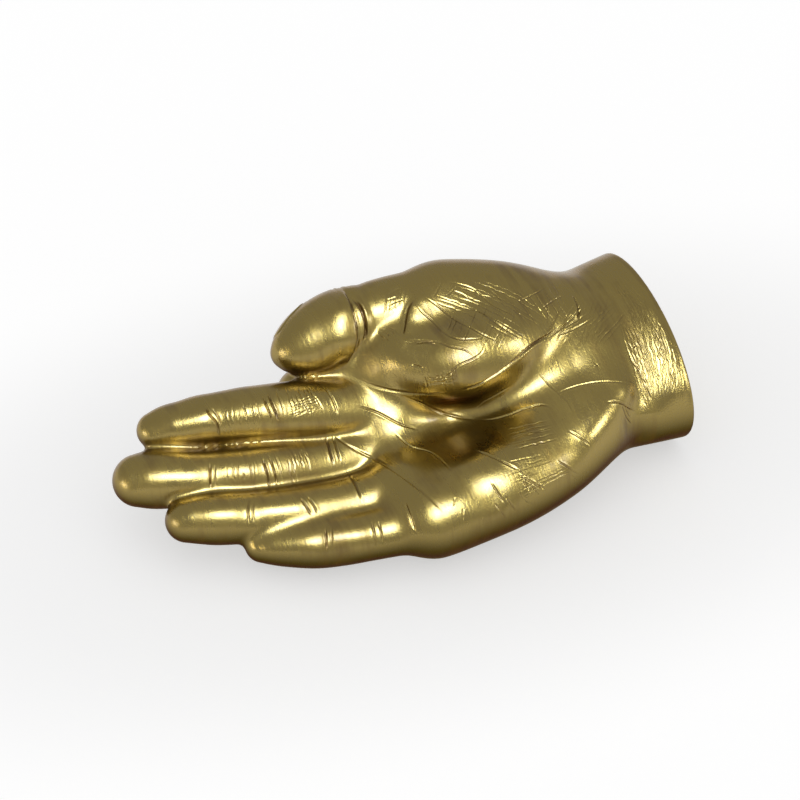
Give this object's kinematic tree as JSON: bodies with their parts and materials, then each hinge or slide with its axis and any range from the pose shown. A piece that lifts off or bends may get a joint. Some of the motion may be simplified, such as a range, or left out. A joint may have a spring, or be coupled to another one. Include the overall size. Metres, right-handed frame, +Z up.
{
  "type": "trinket dish",
  "caption": "Life-size cupped hand lying palm up, whose hollowed palm and fingers hold coins, rings or keys; a hollow casting closed at the wrist, on felt pads.",
  "frame": {"origin": "on the table, under the middle of the hand's bounding box", "axes": "+X from the fingertips to the wrist, +Y towards the thumb's side, +Z up from the table"},
  "size_m": [0.1952, 0.0937, 0.0614],
  "materials": {
    "gold_lacquer": "satin",
    "felt": "matte"
  },
  "bodies": {
    "root": {"hand_shell": "gold_lacquer", "wrist_plate": "gold_lacquer", "pad_front_thumb": "felt", "pad_front_little": "felt", "pad_rear_thumb": "felt", "pad_rear_little": "felt"}
  },
  "joints": []
}
